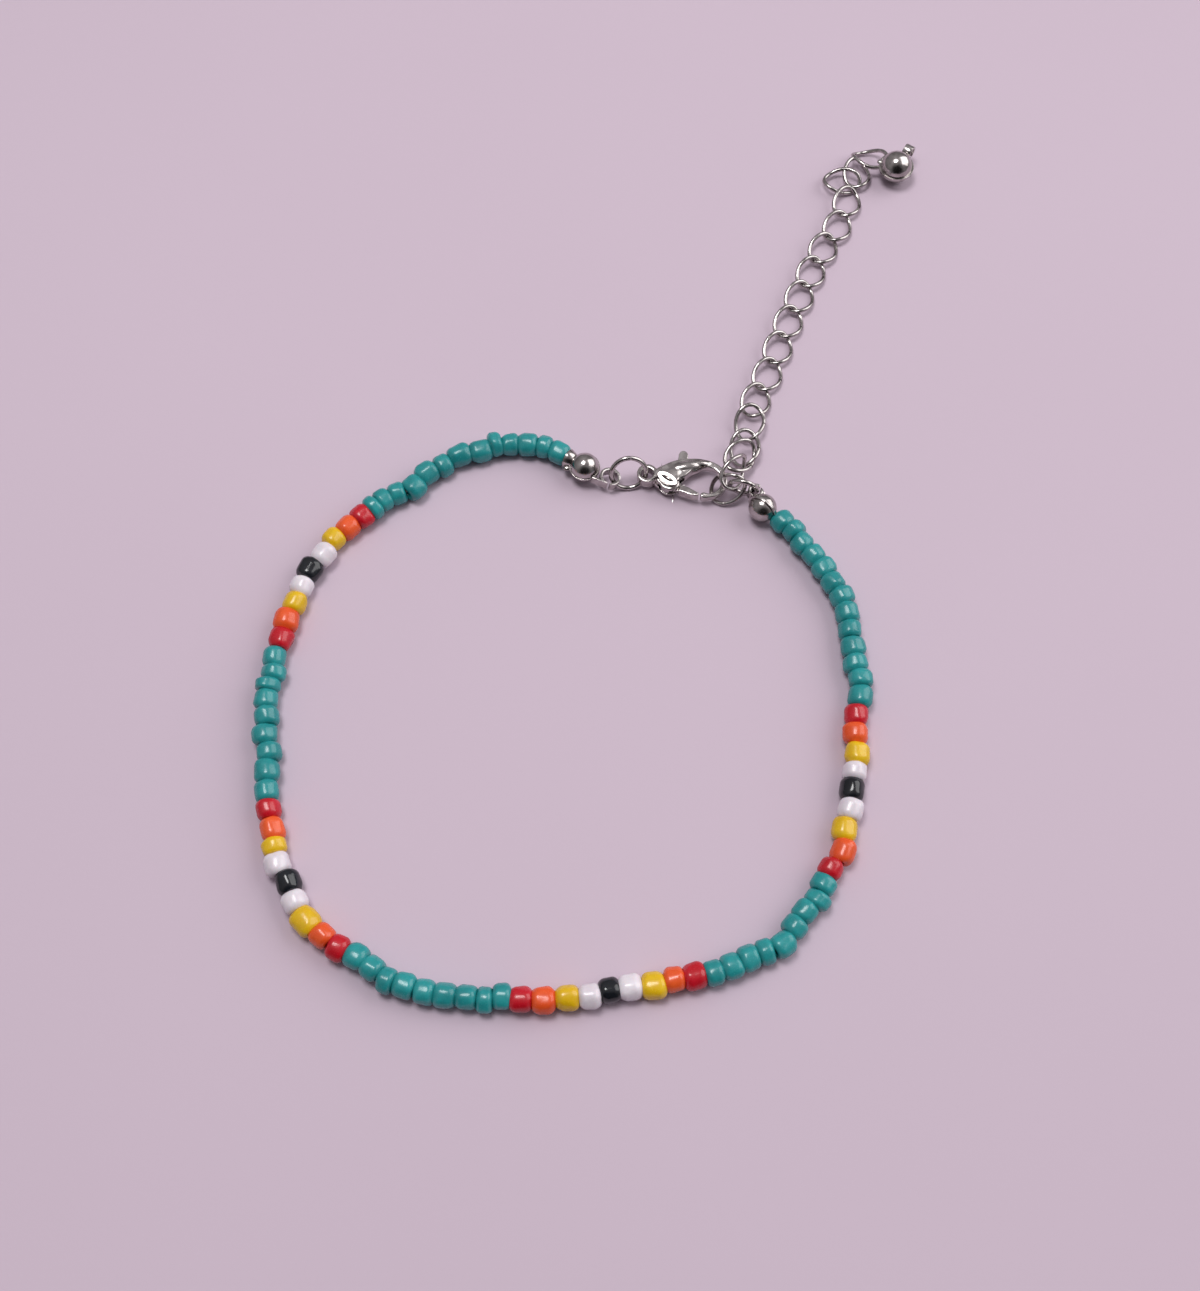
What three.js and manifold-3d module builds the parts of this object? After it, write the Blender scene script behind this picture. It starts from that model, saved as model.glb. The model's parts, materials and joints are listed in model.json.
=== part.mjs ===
// Beaded anklet, fastened and lying on a flat surface. Millimetres, +Z up.
// Places are measured from a point near the middle of the bead loop; at the end the whole
// anklet is moved so that the origin is the middle of its outline, on the surface.

import * as THREE from 'three';
import { mergeVertices } from 'three/addons/utils/BufferGeometryUtils.js';
import Module from 'manifold-3d';

const wasm = await Module();
wasm.setup();

// Driving dimensions
const OUTLINE_MIDDLE = new THREE.Vector3(1.404, 15.906, 0);

const BEAD_RADIUS = 1.45;
const THIN_BEAD_RADIUS = 1.55;
const BEAD_SIDES = 10;
const BEAD_EDGE = 0.42;
const BEAD_FACE_RADIUS = 1.0;
const BORE_RADIUS = 0.62;
const BEAD_GAP = 0.045;
const BEND_ROOM = 0.95;
const BEAD_LENGTHS = { a: 1.4, b: 1.65, c: 1.9, d: 2.1, e: 2.3, f: 2.5, g: 2.75 };
const SIDE_STEPS = { O: -0.32, o: -0.16, '.': 0, i: 0.16, I: 0.32 };

const THREAD_RADIUS = 0.2;
const THREAD_HEIGHT = 1.45;
const THREAD_RISE_LENGTH = 2.7;
const THREAD_MEETING_GAP = 0.3;
const THREAD_WAY_RADIUS = 0.5;
const THREAD_STEPS = 6;
const KNOT_RADIUS = 0.8;
const KNOT_END_RADIUS = 0.45;
const KNOT_LENGTH = 1.1;
const FIRST_BEAD_AT = 3.9;

const BALL_RADIUS = 1.85;
const BALL_WALL = 0.35;
const RIM_RADIUS = 2.15;
const END_BALL_RADIUS = 2.2;
const END_RIM_RADIUS = 2.5;
const RIM_THICKNESS = 0.36;
const STRIP_THICKNESS = 0.3;
const STRIP_WIDTH = 1.1;
const CURL_RADIUS = 0.95;
const WIRE_CLEARANCE = 0.12;

const LINK_HALF_LENGTH = 2.5;
const LINK_HALF_WIDTH = 1.82;
const LINK_WIRE_RADIUS = 0.26;
const LINK_WIRE_SIDES = 5;
const LINK_STEPS = 12;
const LINK_TWIST = THREE.MathUtils.degToRad(26);

const CLASP_HALF_HEIGHT = 1.15;
const CLASP_EDGE = 0.22;
const HOOK_THINNING = 0.5;
const CLASP_SLOT = 0.96;
const BAIL_OUTER_RADIUS = 1.3;
const BAIL_INNER_RADIUS = 0.9;
const BAIL_HALF_HEIGHT = 0.45;
const RIVET = new THREE.Vector2(2.73, -1.12);
const RIVET_RADIUS = 0.42;
const RIVET_CLEARANCE = 0.12;
const BOSS_RADII = new THREE.Vector2(1.0, 0.72);
const BOSS_HALF_HEIGHT = 1.35;
const LEVER_WEB = 0.72;
const GATE_HALF_HEIGHT = 0.72;

// The string's route on the surface, from the left clamshell round to the right one
const ROUTE = [
  [-2.0, 24.3], [-5.2, 26.5], [-9.3, 27.7], [-13.3, 27.6], [-18.6, 25.5], [-22.2, 23.2],
  [-24.2, 21.2], [-27.0, 19.8], [-31.7, 15.6], [-34.8, 11.3], [-37.3, 6.0], [-39.0, -0.5],
  [-39.9, -7.0], [-39.2, -14.8], [-38.4, -22.2], [-36.4, -29.1], [-32.5, -35.2],
  [-27.2, -38.9], [-23.8, -41.1], [-18.0, -42.9], [-7.5, -43.5], [1.3, -42.4],
  [10.8, -40.9], [18.0, -38.3], [21.3, -36.3], [23.6, -33.2], [25.4, -30.6],
  [27.9, -25.8], [29.5, -18.6], [30.6, -9.8], [31.3, -5.5], [30.6, 0.5], [30.0, 5.6],
  [27.0, 11.2], [22.7, 16.7], [20.2, 18.25],
];

// The stringing chart. A letter of lengths is a bead's length, and a letter of sides is how far
// the bead has slipped off the thread's line, inwards (i, I) or outwards (o, O) of the loop.
const PATTERN = ['red', 'orange', 'yellow', 'white', 'black', 'white', 'yellow', 'orange', 'red'];
const MIDDLE_OF_PATTERN = 5;
const CHART = [
  { lengths: 'ebecafgcfdbba', sides: '.o.ioiO.oi.o.', turquoise: true },
  { lengths: 'dedffdeff', sides: '..O.Oo.o.', turquoise: false },
  { lengths: 'ebaddedfe', sides: 'oIoo.Oioo', turquoise: true },
  { lengths: 'dfbefdgdd', sides: '.i.oI.o.o', turquoise: false },
  { lengths: 'edbedeebc', sides: 'iio....oI', turquoise: true },
  { lengths: 'effedffde', sides: '.ooO..oi.', turquoise: false },
  { lengths: 'cddbecdbc', sides: 'oo.oOiiO.', turquoise: true },
  { lengths: 'dffefcfee', sides: 'iOio.oO..', turquoise: false },
  { lengths: 'eccedecddddbd', sides: 'ooi....i..iO.', turquoise: true },
];

// The extender chain, from the end ball to the link in the clasp's hook. heading is the way the
// link's long axis points, pitch lifts that end and roll lifts the link's left side. Degrees.
const LINKS = [
  { x: 38.25, y: 75.0, z: 1.45, heading: 152, pitch: -14, roll: 10 },
  { x: 36.3, y: 72.6, z: 1.0, heading: 262, pitch: 0, roll: -12 },
  { x: 34.1, y: 71.2, z: 1.0, heading: 180, pitch: 0, roll: -12 },
  { x: 34.6, y: 67.5, z: 0.95, heading: 250, pitch: 0, roll: -12 },
  { x: 33.0, y: 63.2, z: 0.95, heading: 243, pitch: 0, roll: -12 },
  { x: 30.8, y: 59.4, z: 0.95, heading: 243, pitch: 0, roll: -12 },
  { x: 28.9, y: 55.4, z: 0.95, heading: 245, pitch: 0, roll: -12 },
  { x: 27.1, y: 51.3, z: 0.95, heading: 246, pitch: 0, roll: -12 },
  { x: 25.4, y: 47.2, z: 0.95, heading: 247, pitch: 0, roll: -12 },
  { x: 23.8, y: 43.0, z: 0.95, heading: 249, pitch: 0, roll: -12 },
  { x: 22.2, y: 38.8, z: 0.95, heading: 247, pitch: 0, roll: -12 },
  { x: 20.5, y: 34.8, z: 0.95, heading: 249, pitch: 0, roll: -12 },
  { x: 19.5, y: 31.2, z: 1.25, heading: 258, pitch: -12, roll: 8 },
  { x: 18.7, y: 27.38, z: 1.25, heading: 262, pitch: -10, roll: 8 },
  { x: 18.1, y: 25.7, z: 2.0, heading: 230, pitch: 6, roll: -24 },
  { x: 17.15, y: 22.85, z: 2.85, heading: 238, pitch: 2, roll: -56 },
  { x: 16.2, y: 21.05, z: 1.94, heading: 12, pitch: 42, roll: 42 },
];

// The two jump rings at the clasp, in the same terms, and the middles of the clamshells' eyes
const LEFT_RING = {
  x: 4.1, y: 23.2, z: 2.265, heading: 15, roll: 66, radius: 2.15, wireRadius: 0.28,
};
const RIGHT_RING = {
  x: 18.2, y: 20.9, z: 2.4, heading: -15, roll: 97, radius: 1.75, wireRadius: 0.32,
};
const LEFT_EYE = [2.15, 22.65, 1.7];
const RIGHT_EYE = [19.68, 20.4, 2.0];

const metal = (name, color) => {
  const material = new THREE.MeshStandardMaterial({ color, metalness: 1, roughness: 0.2 });
  material.name = name;
  return material;
};
const glass = (name, color) => {
  const material = new THREE.MeshStandardMaterial({ color, metalness: 0, roughness: 0.18 });
  material.name = name;
  return material;
};
const MATERIALS = {
  turquoise: glass('turquoise_glass', 0x1f9c8f),
  red: glass('red_glass', 0xc81a2c),
  orange: glass('orange_glass', 0xf06a28),
  yellow: glass('yellow_glass', 0xf0c41c),
  white: glass('white_glass', 0xe9e2ea),
  black: glass('black_glass', 0x101216),
  plate: metal('silver_plate', 0xc9c6c8),
  clasp: metal('bright_plate', 0xd8d6d8),
};

// Solids
function toSolid(geometry) {
  const bare = geometry.clone();
  bare.deleteAttribute('normal');
  bare.deleteAttribute('uv');
  const merged = mergeVertices(bare, 1e-5);
  return new wasm.Manifold(new wasm.Mesh({
    numProp: 3,
    vertProperties: new Float32Array(merged.attributes.position.array),
    triVerts: new Uint32Array(merged.index.array),
  }));
}

function toGeometry(solid) {
  const mesh = solid.getMesh();
  const geometry = new THREE.BufferGeometry();
  geometry.setAttribute('position', new THREE.BufferAttribute(mesh.vertProperties, 3));
  geometry.setIndex(new THREE.BufferAttribute(mesh.triVerts, 1));
  geometry.computeVertexNormals();
  return geometry;
}

function union(geometries) {
  return geometries.map(toSolid).reduce((sum, solid) => sum.add(solid));
}

function cut(solid, geometries) {
  return geometries.map(toSolid).reduce((rest, tool) => rest.subtract(tool), solid);
}

function node(name, geometry, material) {
  const mesh = new THREE.Mesh(geometry, material);
  mesh.name = name;
  return mesh;
}

// A frame whose Y axis runs along direction and whose Z axis is as near upright as it can be
function alongBasis(direction) {
  const along = direction.clone().normalize();
  const side = along.clone().cross(new THREE.Vector3(0, 0, 1)).normalize();
  const up = side.clone().cross(along);
  return new THREE.Matrix4().makeBasis(side, along, up);
}

function placed(geometry, basis, position) {
  return geometry.clone().applyMatrix4(basis.clone().setPosition(position));
}

// A closed body through rings of equal size, its two ends filled flat
function loft(rings) {
  const sides = rings[0].length;
  const positions = rings.flat().flatMap((point) => [point.x, point.y, point.z]);
  const index = [];
  for (let ring = 0; ring + 1 < rings.length; ring += 1) {
    for (let side = 0; side < sides; side += 1) {
      const next = (side + 1) % sides;
      const [a, b] = [ring * sides + side, ring * sides + next];
      const [c, d] = [a + sides, b + sides];
      index.push(a, b, d, a, d, c);
    }
  }
  const last = (rings.length - 1) * sides;
  for (let side = 1; side + 1 < sides; side += 1) {
    index.push(0, side + 1, side);
    index.push(last, last + side, last + side + 1);
  }
  const geometry = new THREE.BufferGeometry();
  geometry.setAttribute('position', new THREE.Float32BufferAttribute(positions, 3));
  geometry.setIndex(index);
  geometry.computeVertexNormals();
  return geometry;
}

// A ring of BEAD_SIDES points whose lowest and highest sides are level
function ring(centre, direction, radius) {
  const basis = alongBasis(direction);
  const points = [];
  for (let side = 0; side < BEAD_SIDES; side += 1) {
    const angle = (2 * Math.PI * (side + 0.5)) / BEAD_SIDES;
    const point = new THREE.Vector3(radius * Math.sin(angle), 0, radius * Math.cos(angle));
    points.push(point.applyMatrix4(basis).add(centre));
  }
  return points;
}

// Radius over the corners of a polygon that measures 2 * radius across its flats
const overCorners = (radius) => radius / Math.cos(Math.PI / BEAD_SIDES);

// The beads' places along the route
const routeCurve = new THREE.CatmullRomCurve3(
  ROUTE.map(([x, y]) => new THREE.Vector3(x, y, 0)), false, 'catmullrom', 0.5);
routeCurve.arcLengthDivisions = 1200;
const routeLength = routeCurve.getLength();

function strungBeads() {
  const beads = [];
  let place = FIRST_BEAD_AT;
  let lastLength = 0;
  for (const group of CHART) {
    for (let number = 0; number < group.lengths.length; number += 1) {
      const letter = group.lengths[number];
      const length = BEAD_LENGTHS[letter];
      if (beads.length > 0) {
        const step = (lastLength + length) / 2;
        const before = routeCurve.getTangentAt(place / routeLength);
        const after = routeCurve.getTangentAt((place + step) / routeLength);
        place += step + BEAD_GAP + BEND_ROOM * before.angleTo(after);
      }
      const direction = routeCurve.getTangentAt(place / routeLength);
      const inward = new THREE.Vector3(-direction.y, direction.x, 0);
      const radius = letter === 'a' ? THIN_BEAD_RADIUS : BEAD_RADIUS;
      const centre = routeCurve.getPointAt(place / routeLength);
      centre.addScaledVector(inward, SIDE_STEPS[group.sides[number]]);
      centre.z = radius;
      beads.push({
        centre, direction, radius, length, place,
        glass: group.turquoise ? 'turquoise' : PATTERN[number],
      });
      lastLength = length;
    }
  }
  return beads;
}

// The thread runs at the height of the beads' bores and rises to the middle of each clamshell
function threadPoint(place) {
  const point = routeCurve.getPointAt(place / routeLength);
  const fromEnd = Math.min(place, routeLength - place);
  const ballHeight = place < routeLength / 2 ? BALL_RADIUS : RIM_RADIUS;
  const level = Math.min(1, fromEnd / THREAD_RISE_LENGTH);
  point.z = THREE.MathUtils.lerp(ballHeight, THREAD_HEIGHT, level);
  return point;
}

function threadRing(place, radius) {
  return ring(threadPoint(place), routeCurve.getTangentAt(place / routeLength), radius);
}

// A run of turquoise beads and the stretch of thread that it sits on, fused into one body
function turquoiseRun(beads, threadFrom, threadTo, knotAtStart, knotAtEnd) {
  const rings = [];
  const first = beads[0];
  const last = beads[beads.length - 1];
  if (knotAtStart) {
    rings.push(threadRing(threadFrom, KNOT_END_RADIUS));
    rings.push(threadRing(threadFrom + KNOT_LENGTH / 2, KNOT_RADIUS));
    rings.push(threadRing(threadFrom + KNOT_LENGTH, THREAD_RADIUS));
  } else {
    const lead = first.place - first.length / 2 - threadFrom;
    for (let step = 0; step < THREAD_STEPS; step += 1) {
      rings.push(threadRing(threadFrom + (lead * step) / THREAD_STEPS, THREAD_RADIUS));
    }
  }
  rings.push(threadRing(first.place - first.length / 2 - BEAD_GAP, THREAD_RADIUS));
  beads.forEach((bead, number) => {
    const half = bead.length / 2;
    const at = (along) => bead.centre.clone().addScaledVector(bead.direction, along);
    if (number === 0) rings.push(ring(at(-half), bead.direction, BEAD_FACE_RADIUS));
    rings.push(ring(at(-half + BEAD_EDGE), bead.direction, overCorners(bead.radius)));
    rings.push(ring(at(half - BEAD_EDGE), bead.direction, overCorners(bead.radius)));
    const next = beads[number + 1];
    if (next) {
      const meeting = next.centre.clone().addScaledVector(next.direction, -next.length / 2);
      const between = bead.direction.clone().add(next.direction).normalize();
      rings.push(ring(meeting.lerp(at(half), 0.5), between, BEAD_FACE_RADIUS));
    } else {
      rings.push(ring(at(half), bead.direction, BEAD_FACE_RADIUS));
    }
  });
  rings.push(threadRing(last.place + last.length / 2 + BEAD_GAP, THREAD_RADIUS));
  if (knotAtEnd) {
    rings.push(threadRing(threadTo - KNOT_LENGTH, THREAD_RADIUS));
    rings.push(threadRing(threadTo - KNOT_LENGTH / 2, KNOT_RADIUS));
    rings.push(threadRing(threadTo, KNOT_END_RADIUS));
  } else {
    const lead = threadTo - last.place - last.length / 2;
    for (let step = 1; step <= THREAD_STEPS; step += 1) {
      const place = threadTo - lead + (lead * step) / THREAD_STEPS;
      rings.push(threadRing(place, THREAD_RADIUS));
    }
  }
  return loft(rings);
}

// One drilled bead of the pattern, turned about Y
function patternBead(bead) {
  const half = bead.length / 2;
  const outer = overCorners(bead.radius);
  const profile = [
    new THREE.Vector2(BORE_RADIUS, -half),
    new THREE.Vector2(BEAD_FACE_RADIUS, -half),
    new THREE.Vector2(outer, -half + BEAD_EDGE),
    new THREE.Vector2(outer, half - BEAD_EDGE),
    new THREE.Vector2(BEAD_FACE_RADIUS, half),
    new THREE.Vector2(BORE_RADIUS, half),
    new THREE.Vector2(BORE_RADIUS, -half),
  ];
  return new THREE.LatheGeometry(profile, BEAD_SIDES, Math.PI / BEAD_SIDES);
}

function makeString(anklet) {
  const beads = strungBeads();
  let firstBead = 0;
  let run = 0;
  CHART.forEach((group, groupNumber) => {
    const members = beads.slice(firstBead, firstBead + group.lengths.length);
    if (group.turquoise) {
      run += 1;
      const start = groupNumber === 0;
      const end = groupNumber === CHART.length - 1;
      const from = start
        ? 0
        : beads[firstBead - MIDDLE_OF_PATTERN].place + THREAD_MEETING_GAP / 2;
      const to = end
        ? routeLength
        : beads[firstBead + members.length + MIDDLE_OF_PATTERN - 1].place
          - THREAD_MEETING_GAP / 2;
      const geometry = turquoiseRun(members, from, to, start, end);
      anklet.add(node(`turquoise_run_${run}`, geometry, MATERIALS.turquoise));
    } else {
      members.forEach((bead, number) => {
        const name = `bead_${String(firstBead + number + 1).padStart(2, '0')}_${bead.glass}`;
        const mesh = node(name, patternBead(bead), MATERIALS[bead.glass]);
        mesh.quaternion.setFromRotationMatrix(alongBasis(bead.direction));
        mesh.position.copy(bead.centre);
        anklet.add(mesh);
      });
    }
    firstBead += members.length;
  });
}

// A tube round a closed line given by a function of an angle
function wireLoop(line, wireRadius, wireSides, steps) {
  const geometry = new THREE.TorusGeometry(2, 1, wireSides, steps);
  geometry.deleteAttribute('normal');
  geometry.deleteAttribute('uv');
  const merged = mergeVertices(geometry, 1e-5);
  const position = merged.attributes.position;
  const small = 1e-3;
  for (let i = 0; i < position.count; i += 1) {
    const raw = new THREE.Vector3().fromBufferAttribute(position, i);
    const along = Math.atan2(raw.y, raw.x);
    const around = Math.atan2(raw.z, Math.hypot(raw.x, raw.y) - 2);
    const centre = line(along);
    const tangent = line(along + small).sub(line(along - small)).normalize();
    const outward = centre.clone().addScaledVector(tangent, -centre.dot(tangent)).normalize();
    const across = tangent.clone().cross(outward).negate();
    centre.addScaledVector(outward, wireRadius * Math.cos(around));
    centre.addScaledVector(across, wireRadius * Math.sin(around));
    position.setXYZ(i, centre.x, centre.y, centre.z);
  }
  return merged;
}

// A curb link: an oval that is twisted along its length, so that its ends cross its neighbours
function linkLine(angle) {
  const twist = LINK_TWIST * Math.cos(angle);
  const across = LINK_HALF_WIDTH * Math.sin(angle);
  return new THREE.Vector3(
    LINK_HALF_LENGTH * Math.cos(angle), across * Math.cos(twist), across * Math.sin(twist));
}

function turned(heading, pitch, roll) {
  const turn = THREE.MathUtils.degToRad;
  return new THREE.Matrix4().makeRotationZ(turn(heading))
    .multiply(new THREE.Matrix4().makeRotationY(-turn(pitch)))
    .multiply(new THREE.Matrix4().makeRotationX(turn(roll)));
}

function linkAt(link, wireRadius) {
  const geometry = wireLoop(linkLine, wireRadius, LINK_WIRE_SIDES, LINK_STEPS);
  const position = new THREE.Vector3(link.x, link.y, link.z);
  return placed(geometry, turned(link.heading, link.pitch, link.roll), position);
}

function extenderChain() {
  return toGeometry(union(LINKS.map((link) => linkAt(link, LINK_WIRE_RADIUS))));
}

function jumpRing({ x, y, z, heading, roll, radius, wireRadius }) {
  const line = (angle) => new THREE.Vector3(
    radius * Math.cos(angle), radius * Math.sin(angle), 0);
  return placed(wireLoop(line, wireRadius, 6, 18), turned(heading, 0, roll),
    new THREE.Vector3(x, y, z));
}

// The curled strip of a clamshell: a closed eye of flat strip with its axis along Z
function curledEye(radius) {
  const eye = new THREE.Shape();
  eye.absarc(0, 0, radius, 0, 2 * Math.PI, false);
  const hole = new THREE.Path();
  hole.absarc(0, 0, radius - STRIP_THICKNESS, 0, 2 * Math.PI, true);
  eye.holes.push(hole);
  const geometry = new THREE.ExtrudeGeometry(eye,
    { depth: STRIP_WIDTH, bevelEnabled: false, curveSegments: 6 });
  return geometry.translate(0, 0, -STRIP_WIDTH / 2);
}

// A clamshell: two cups closed into a hollow ball with a rim where they meet, and a strip that
// leaves one side and ends in an eye. threadWay points from the ball along the thread.
function clamshell({ ball, radius, rimRadius, rimTurn, threadWay, eye, eyeTurn, slots }) {
  const upright = new THREE.Matrix4().makeRotationX(Math.PI / 2);
  const shell = new THREE.SphereGeometry(radius, 12, 8);
  const cavity = new THREE.SphereGeometry(radius - BALL_WALL, 8, 6);
  const rim = new THREE.CylinderGeometry(rimRadius, rimRadius, RIM_THICKNESS, 14);
  const reach = eye.clone().sub(ball);
  const strapStart = radius - BALL_WALL / 2;
  const strapLength = reach.length() - strapStart - CURL_RADIUS + STRIP_THICKNESS;
  const closed = [
    placed(shell, upright, ball),
    placed(rim, rimTurn, ball),
    placed(curledEye(CURL_RADIUS), eyeTurn, eye),
  ];
  if (strapLength > 0) {
    const strap = new THREE.BoxGeometry(STRIP_THICKNESS, strapLength, STRIP_WIDTH);
    const middle = ball.clone().addScaledVector(
      reach.clone().normalize(), strapStart + strapLength / 2);
    closed.push(placed(strap, alongBasis(reach), middle));
  }
  const openings = [placed(cavity, new THREE.Matrix4(), ball), ...slots];
  if (threadWay) {
    const bore = new THREE.CylinderGeometry(
      THREAD_WAY_RADIUS, THREAD_WAY_RADIUS, THREAD_RISE_LENGTH, BEAD_SIDES);
    bore.translate(0, THREAD_RISE_LENGTH / 2, 0);
    openings.push(placed(bore, alongBasis(threadWay), ball));
  }
  return toGeometry(cut(union(closed), openings));
}

// The lobster clasp lies in its own frame: the bail at the origin and the hook along +X
const CLASP_PLACE = { x: 6.05, y: 23.2, z: 1.36, heading: -6 };

function claspMatrix() {
  const { x, y, z, heading } = CLASP_PLACE;
  return turned(heading, 0, 0).setPosition(x, y, z);
}

function extruded(shape, halfHeight, edge) {
  const geometry = new THREE.ExtrudeGeometry(shape, {
    depth: 2 * (halfHeight - edge),
    bevelEnabled: edge > 0,
    bevelThickness: edge,
    bevelSize: edge,
    bevelOffset: -edge,
    bevelSegments: 1,
    curveSegments: 6,
  });
  return geometry.translate(0, 0, -(halfHeight - edge));
}

const shapeThrough = (points) => new THREE.Shape(points.map(([x, y]) => new THREE.Vector2(x, y)));

const onRivet = (radius, degrees) => {
  const angle = THREE.MathUtils.degToRad(degrees);
  return [RIVET.x + radius * Math.cos(angle), RIVET.y + radius * Math.sin(angle)];
};

// The cast body seen from above: the spine over the top, the hook's end, and the cheeks
const BODY_OUTLINE = [
  [0.95, 0.5], [2.1, 1.5], [3.7, 2.35], [5.3, 2.7], [6.8, 2.85], [8.2, 2.68], [9.2, 2.2],
  [9.85, 1.5], [10.25, 0.45], [10.25, -0.5], [9.95, -1.4], [9.3, -2.1], [8.4, -2.5],
  [7.1, -2.68], [7.05, -2.1], [8.2, -1.95], [8.9, -1.5], [9.3, -0.9], [9.42, -0.1],
  [9.3, 0.7], [8.9, 1.3], [8.2, 1.7], [6.8, 1.65], [5.9, 1.15], [5.3, 0.5], [4.8, -0.05],
  onRivet(1.5, 24), onRivet(1.5, 5), onRivet(1.5, -15), onRivet(1.35, -40),
  [3.0, -2.2], [2.2, -2.0], [1.5, -1.3], [0.95, -0.5],
];

// The slot in which the lever lies: round the rivet, out to the gate and out to the thumb tab
const SLOT_OUTLINE = [
  onRivet(2.6, -60), onRivet(2.4, -20), onRivet(2.4, 10), onRivet(2.2, 45),
  onRivet(3.0, 52), onRivet(5.4, 52), onRivet(5.6, 80), onRivet(5.2, 106),
  onRivet(1.4, 112), onRivet(1.25, 150), onRivet(1.25, 190), onRivet(1.25, 235),
];

const GATE_OUTLINE = [
  onRivet(1.68, -2), [5.4, -1.5], [6.8, -2.2], [6.72, -2.62], [5.8, -2.62], onRivet(1.75, -36),
];

const WEB_OUTLINE = [
  onRivet(0.95, -90), onRivet(1.0, -45), onRivet(2.05, -26), onRivet(2.05, -3),
  onRivet(1.05, 28), [3.75, 0.6], [4.6, 2.3], [5.2, 2.75], [4.85, 3.3], [4.4, 3.62],
  [4.0, 2.9], [3.75, 2.3], [3.05, 0.8], onRivet(1.1, 95), onRivet(0.95, 138),
  onRivet(0.95, 180), onRivet(0.95, 225),
];

function claspBody() {
  const body = extruded(shapeThrough(BODY_OUTLINE), CLASP_HALF_HEIGHT, CLASP_EDGE);
  const position = body.attributes.position;
  for (let i = 0; i < position.count; i += 1) {
    const blend = THREE.MathUtils.smoothstep(position.getX(i), 5.2, 9.2);
    position.setZ(i, position.getZ(i) * THREE.MathUtils.lerp(1, HOOK_THINNING, blend));
  }
  const bail = new THREE.Shape();
  bail.absarc(0, 0, BAIL_OUTER_RADIUS, 0, 2 * Math.PI, false);
  const eye = new THREE.Path();
  eye.absarc(0, 0, BAIL_INNER_RADIUS, 0, 2 * Math.PI, true);
  bail.holes.push(eye);
  const boss = new THREE.Shape();
  boss.absellipse(RIVET.x, RIVET.y, BOSS_RADII.x, BOSS_RADII.y, 0, 2 * Math.PI, false, 0.3);
  const slot = extruded(shapeThrough(SLOT_OUTLINE), CLASP_SLOT / 2, 0);
  const rivet = new THREE.CylinderGeometry(RIVET_RADIUS, RIVET_RADIUS, CLASP_SLOT + 0.6, 10);
  rivet.rotateX(Math.PI / 2).translate(RIVET.x, RIVET.y, 0);
  const cast = union([
    body,
    extruded(bail, BAIL_HALF_HEIGHT, 0),
    extruded(boss, BOSS_HALF_HEIGHT, 0.15),
  ]);
  return toGeometry(cut(cast, [slot]).add(toSolid(rivet)));
}

function claspLever() {
  const gate = extruded(shapeThrough(GATE_OUTLINE), GATE_HALF_HEIGHT, 0.15);
  const web = extruded(shapeThrough(WEB_OUTLINE), LEVER_WEB / 2, 0);
  const eyeRadius = RIVET_RADIUS + RIVET_CLEARANCE;
  const eye = new THREE.CylinderGeometry(eyeRadius, eyeRadius, 2, 12);
  eye.rotateX(Math.PI / 2).translate(RIVET.x, RIVET.y, 0);
  return toGeometry(cut(union([gate, web]), [eye]));
}

function makeFindings(anklet) {
  const leftBall = threadPoint(0);
  const rightBall = threadPoint(routeLength);
  const endBall = new THREE.Vector3(41.65, 72.7, END_BALL_RADIUS);
  const level = new THREE.Matrix4().makeRotationX(Math.PI / 2);

  anklet.add(node('clamshell_left', clamshell({
    ball: leftBall,
    radius: BALL_RADIUS,
    rimRadius: RIM_RADIUS,
    rimTurn: level,
    threadWay: threadPoint(THREAD_RISE_LENGTH).sub(leftBall),
    eye: new THREE.Vector3(...LEFT_EYE),
    eyeTurn: turned(15, 0, -30),
    slots: [],
  }), MATERIALS.plate));

  anklet.add(node('jump_ring_clasp', jumpRing(LEFT_RING), MATERIALS.plate));

  const clasp = new THREE.Group();
  clasp.applyMatrix4(claspMatrix());
  clasp.add(node('clasp_body', claspBody(), MATERIALS.clasp));
  clasp.add(node('clasp_lever', claspLever(), MATERIALS.clasp));
  anklet.add(clasp);

  anklet.add(node('clamshell_right', clamshell({
    ball: rightBall,
    radius: BALL_RADIUS,
    rimRadius: RIM_RADIUS,
    rimTurn: turned(-38, 0, 0),
    threadWay: threadPoint(routeLength - THREAD_RISE_LENGTH).sub(rightBall),
    eye: new THREE.Vector3(...RIGHT_EYE),
    eyeTurn: turned(-15, 0, 7),
    slots: [],
  }), MATERIALS.plate));

  anklet.add(node('jump_ring_chain', jumpRing(RIGHT_RING), MATERIALS.plate));
  anklet.add(node('extender_chain', extenderChain(), MATERIALS.plate));

  anklet.add(node('clamshell_end', clamshell({
    ball: endBall,
    radius: END_BALL_RADIUS,
    rimRadius: END_RIM_RADIUS,
    rimTurn: level,
    threadWay: null,
    eye: endBall.clone().add(new THREE.Vector3(1.8, 2.85, 0)),
    eyeTurn: turned(52, 0, 90),
    slots: [linkAt(LINKS[0], LINK_WIRE_RADIUS + WIRE_CLEARANCE)],
  }), MATERIALS.plate));
}

const anklet = new THREE.Group();
makeString(anklet);
makeFindings(anklet);
anklet.position.copy(OUTLINE_MIDDLE).negate();

export default anklet;
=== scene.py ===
# %% [markdown]
# # A beaded anklet
#
# The object is a string of small opaque glass beads that is closed by a lobster clasp, with a
# length of curb chain to make it longer. A fixed frame of plain solids is loaded first. Each
# cell then makes one kind of piece at its real place, in metres, and gives it its finish.

# %% Load the frame
import json
import math
import random
import bpy
from mathutils import Matrix, Vector

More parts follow.
